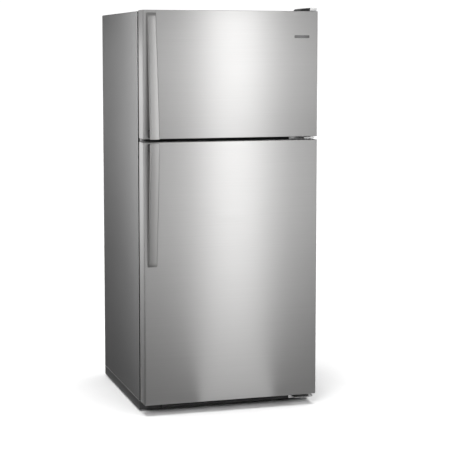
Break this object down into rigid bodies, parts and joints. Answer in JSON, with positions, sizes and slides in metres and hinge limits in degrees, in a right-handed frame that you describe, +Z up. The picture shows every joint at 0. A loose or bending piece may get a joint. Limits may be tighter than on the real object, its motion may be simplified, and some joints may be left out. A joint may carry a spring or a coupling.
{
  "type": "top freezer refrigerator",
  "caption": "Free-standing refrigerator with a freezer over a fresh-food compartment, hinged doors with bowed bar handles, shelves, crispers, door bins and a rear compressor bay.",
  "frame": {"origin": "on the floor, under the middle of the refrigerator's bounding box", "axes": "+X to the viewer's right as the doors face the viewer, -Y out of the doors, +Z up"},
  "size_m": [0.7112, 0.816, 1.597],
  "materials": {
    "stainless": "satin",
    "grey_paint": "satin",
    "black_paint": "satin",
    "galvanised": "matte",
    "zinc": "satin",
    "foam": "matte",
    "white_plastic": "gloss",
    "clear_plastic": "gloss",
    "shelf_glass": "gloss",
    "white_wire": "gloss",
    "gasket": "matte",
    "black_plastic": "satin",
    "badge_metal": "satin",
    "aluminium": "satin",
    "black_rubber": "matte"
  },
  "bodies": {
    "cabinet": {"back_panel": "galvanised", "base_frame": "black_paint", "bottom_deck": "galvanised", "bottom_hinge": "zinc", "cabinet_foam": "foam", "cabinet_wrapper": "grey_paint", "center_hinge": "zinc", "compressor": "black_paint", "compressor_grommets": "black_rubber", "condenser_coil": "black_paint", "condenser_fan_motor": "galvanised", "control_housing": "white_plastic", "crisper_frame": "white_plastic", "crisper_glass": "shelf_glass", "drain_pan": "black_plastic", "evaporator_coil": "aluminium", "evaporator_cover": "white_plastic", "evaporator_fan_motor": "galvanised", "freezer_liner": "white_plastic", "freezer_shelf": "white_wire", "fridge_liner": "white_plastic", "hinge_screws": "zinc", "lower_shelf_frame": "white_plastic", "lower_shelf_glass": "shelf_glass", "machine_cover": "galvanised", "mullion_bar": "grey_paint", "toe_grille": "black_plastic", "top_hinge": "zinc", "top_hinge_cover": "black_plastic", "upper_shelf_frame": "white_plastic", "upper_shelf_glass": "shelf_glass"},
    "freezer_door": {"freezer_door_skin": "stainless", "freezer_door_caps": "black_plastic", "freezer_door_foam": "foam", "freezer_door_liner": "white_plastic", "freezer_door_gasket": "gasket", "freezer_door_bin": "clear_plastic", "freezer_handle": "stainless", "freezer_handle_post": "black_plastic", "badge": "badge_metal"},
    "fridge_door": {"fridge_door_skin": "stainless", "fridge_door_caps": "black_plastic", "fridge_door_foam": "foam", "fridge_door_liner": "white_plastic", "fridge_door_gasket": "gasket", "fridge_door_bin_lower": "clear_plastic", "fridge_door_bin_upper": "clear_plastic", "fridge_handle": "stainless", "fridge_handle_post": "black_plastic"},
    "dairy_lid": {"dairy_lid": "clear_plastic"},
    "temperature_knob": {"temperature_knob": "white_plastic"},
    "crisper_left": {"crisper_left": "clear_plastic"},
    "crisper_right": {"crisper_right": "clear_plastic"},
    "light_switch_plunger": {"light_switch_plunger": "white_plastic"},
    "evaporator_fan": {"evaporator_fan_blade": "black_plastic"},
    "condenser_fan": {"condenser_fan_blade": "black_plastic"},
    "roller_left": {"roller_left": "black_plastic"},
    "roller_right": {"roller_right": "black_plastic"},
    "leg_left": {"leg_left": "zinc"},
    "leg_right": {"leg_right": "zinc"}
  },
  "joints": [
    {"name": "freezer_door_hinge", "type": "hinge", "parent": "cabinet", "child": "freezer_door", "pos_m": [0.3396, -0.318, 1.5825], "axis": [0, 0, 1], "range_deg": [0, 130]},
    {"name": "fridge_door_hinge", "type": "hinge", "parent": "cabinet", "child": "fridge_door", "pos_m": [0.3396, -0.318, 0.0445], "axis": [0, 0, 1], "range_deg": [0, 130]},
    {"name": "dairy_lid_hinge", "type": "hinge", "parent": "fridge_door", "child": "dairy_lid", "pos_m": [0, -0.212, 0.992], "axis": [1, 0, 0], "range_deg": [0, 90]},
    {"name": "crisper_left_slide", "type": "slide", "parent": "cabinet", "child": "crisper_left", "axis": [0, -1, 0], "range_m": [0, 0.227]},
    {"name": "crisper_right_slide", "type": "slide", "parent": "cabinet", "child": "crisper_right", "axis": [0, -1, 0], "range_m": [0, 0.227]},
    {"name": "light_switch_slide", "type": "slide", "parent": "cabinet", "child": "light_switch_plunger", "axis": [0, -1, 0], "range_m": [0, 0.008]},
    {"name": "temperature_knob_turn", "type": "hinge", "parent": "cabinet", "child": "temperature_knob", "pos_m": [0.074, -0.06, 1.019], "axis": [0, -1, 0], "range_deg": [0, 270]},
    {"name": "evaporator_fan_spin", "type": "hinge", "parent": "cabinet", "child": "evaporator_fan", "pos_m": [0, 0.302, 1.458], "axis": [0, 1, 0], "continuous": true},
    {"name": "condenser_fan_spin", "type": "hinge", "parent": "cabinet", "child": "condenser_fan", "pos_m": [0.084, 0.294, 0.142], "axis": [1, 0, 0], "continuous": true},
    {"name": "roller_left_spin", "type": "hinge", "parent": "cabinet", "child": "roller_left", "pos_m": [-0.3361, 0.372, 0.018], "axis": [1, 0, 0], "continuous": true},
    {"name": "roller_right_spin", "type": "hinge", "parent": "cabinet", "child": "roller_right", "pos_m": [0.3361, 0.372, 0.018], "axis": [1, 0, 0], "continuous": true},
    {"name": "leg_left_screw", "type": "slide", "parent": "cabinet", "child": "leg_left", "axis": [0, 0, -1], "range_m": [0, 0.015]},
    {"name": "leg_right_screw", "type": "slide", "parent": "cabinet", "child": "leg_right", "axis": [0, 0, -1], "range_m": [0, 0.015]}
  ],
  "couplings": [
    {"joint": "crisper_left_slide", "follows": "fridge_door_hinge", "m_per_rad": 0.1},
    {"joint": "crisper_right_slide", "follows": "fridge_door_hinge", "m_per_rad": 0.1},
    {"joint": "light_switch_slide", "follows": "fridge_door_hinge", "m_per_rad": 0.0035}
  ]
}
